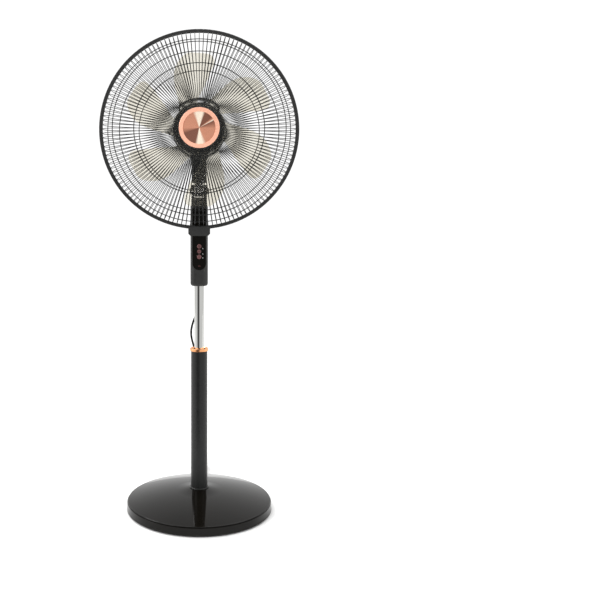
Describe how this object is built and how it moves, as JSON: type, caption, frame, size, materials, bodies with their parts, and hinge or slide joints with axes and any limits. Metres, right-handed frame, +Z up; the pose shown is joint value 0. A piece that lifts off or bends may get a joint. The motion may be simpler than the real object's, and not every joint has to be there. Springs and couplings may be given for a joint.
{
  "type": "pedestal fan",
  "caption": "Free-standing fan: round weighted base, telescopic pole, tilting and swinging head, bladed rotor inside a round wire guard.",
  "frame": {"origin": "on the floor under the pole's axis, at the centre of the base", "axes": "+Z up, -Y the way the fan faces, +X to the viewer's right when facing the fan"},
  "size_m": [0.45, 0.552, 1.11],
  "materials": {
    "gloss_black": "gloss",
    "satin_black_metal": "satin paint",
    "dark_plastic": "satin moulded",
    "chrome": "polished",
    "copper_plate": "brushed copper colour",
    "rose_button": "satin",
    "clear_amber": "translucent",
    "ballast_iron": "raw",
    "rubber": "matt",
    "zinc_steel": "zinc plated",
    "cast_alloy": "die cast",
    "core_steel": "laminated",
    "copper_wire": "enamelled wire",
    "white_nylon": "moulded",
    "circuit_board": "solder mask",
    "white_lamp": "clear",
    "smoke_lens": "dark lens",
    "cord_rubber": "soft matt",
    "brass_pin": "plain"
  },
  "bodies": {
    "base": {"base_cover": "gloss_black", "base_weight": "ballast_iron", "base_feet": "rubber", "pole_socket": "zinc_steel", "pole_socket_screws": "zinc_steel", "lower_pole": "satin_black_metal", "pole_foot_ring": "satin_black_metal", "height_collet": "dark_plastic", "mains_cord": "cord_rubber", "cord_hank": "cord_rubber", "cord_tie": "cord_rubber", "plug": "cord_rubber", "plug_pins": "brass_pin"},
    "clamp_ring": {"height_ring": "copper_plate"},
    "column": {"chrome_tube": "chrome", "tube_foot_bush": "white_nylon", "housing_front": "dark_plastic", "housing_rear": "dark_plastic", "housing_screws": "zinc_steel", "control_panel": "gloss_black", "remote_receiver": "smoke_lens", "control_board": "circuit_board", "indicator_lamps": "white_lamp", "motor_capacitor": "white_nylon", "cord_strain_relief": "cord_rubber", "tilt_yoke": "dark_plastic", "tilt_bolt_and_nut": "zinc_steel"},
    "power_key": {"power_button": "rose_button"},
    "speed_key": {"speed_button": "rose_button"},
    "swing_key": {"swing_button": "rose_button"},
    "neck": {"neck": "dark_plastic", "swing_post_and_pin": "zinc_steel"},
    "head": {"motor_cover_front": "dark_plastic", "motor_cover_rear": "dark_plastic", "motor_frame": "cast_alloy", "rear_bracket": "zinc_steel", "stator_core": "core_steel", "stator_coils": "copper_wire", "stator_pillars": "zinc_steel", "motor_bearings": "zinc_steel", "swing_gearmotor": "white_nylon", "carry_handle": "dark_plastic", "front_guard_wires": "satin_black_metal", "front_guard_rings": "satin_black_metal", "front_guard_boss": "dark_plastic", "badge_ring": "copper_plate", "badge_face": "copper_plate", "rear_guard_wires": "satin_black_metal", "rear_guard_rings": "satin_black_metal", "rear_guard_plate": "dark_plastic", "guard_nut": "dark_plastic", "guard_trim_ring": "dark_plastic", "guard_clip": "dark_plastic", "guard_clip_screw": "zinc_steel"},
    "rotor": {"motor_shaft": "zinc_steel", "rotor_core": "core_steel", "fan_blades": "clear_amber", "blade_nut": "dark_plastic"},
    "crank": {"swing_crank": "zinc_steel"},
    "link": {"swing_link": "zinc_steel"}
  },
  "joints": [
    {"name": "height_slide", "type": "slide", "parent": "base", "child": "column", "axis": [0, 0, 1], "range_m": [-0.138, 0.115], "deforming": ["mains_cord"]},
    {"name": "ring_turn", "type": "hinge", "parent": "base", "child": "clamp_ring", "pos_m": [0, 0, 0.372], "axis": [0, 0, 1], "range_deg": [-45, 135]},
    {"name": "power_press", "type": "slide", "parent": "column", "child": "power_key", "axis": [0, 1, 0], "range_m": [0, 0.001], "stiffness_N_per_m": 300, "springref_m": -0.002},
    {"name": "speed_press", "type": "slide", "parent": "column", "child": "speed_key", "axis": [0, 1, 0], "range_m": [0, 0.001], "stiffness_N_per_m": 300, "springref_m": -0.002},
    {"name": "swing_press", "type": "slide", "parent": "column", "child": "swing_key", "axis": [0, 1, 0], "range_m": [0, 0.001], "stiffness_N_per_m": 300, "springref_m": -0.002},
    {"name": "head_tilt", "type": "hinge", "parent": "column", "child": "neck", "pos_m": [0, 0, 0.745], "axis": [-1, 0, 0], "range_deg": [-10, 20]},
    {"name": "head_swing", "type": "hinge", "parent": "neck", "child": "head", "pos_m": [0, 0, 0.83], "axis": [0, 0, 1], "range_deg": [-40, 40]},
    {"name": "blade_spin", "type": "hinge", "parent": "head", "child": "rotor", "pos_m": [0, -0.05, 0.885], "axis": [0, -1, 0], "continuous": true},
    {"name": "crank_turn", "type": "hinge", "parent": "head", "child": "crank", "pos_m": [0.01, 0.054, 0.838], "axis": [0, 0, 1], "range_deg": [-75, 75]},
    {"name": "link_turn", "type": "hinge", "parent": "crank", "child": "link", "pos_m": [0.0188, 0.0559, 0.835], "axis": [0, 0, 1], "range_deg": [-80, 80]}
  ],
  "couplings": [
    {"joint": "crank_turn", "follows": "head_swing", "ratio": -1.785},
    {"joint": "link_turn", "follows": "head_swing", "ratio": 1.916}
  ]
}
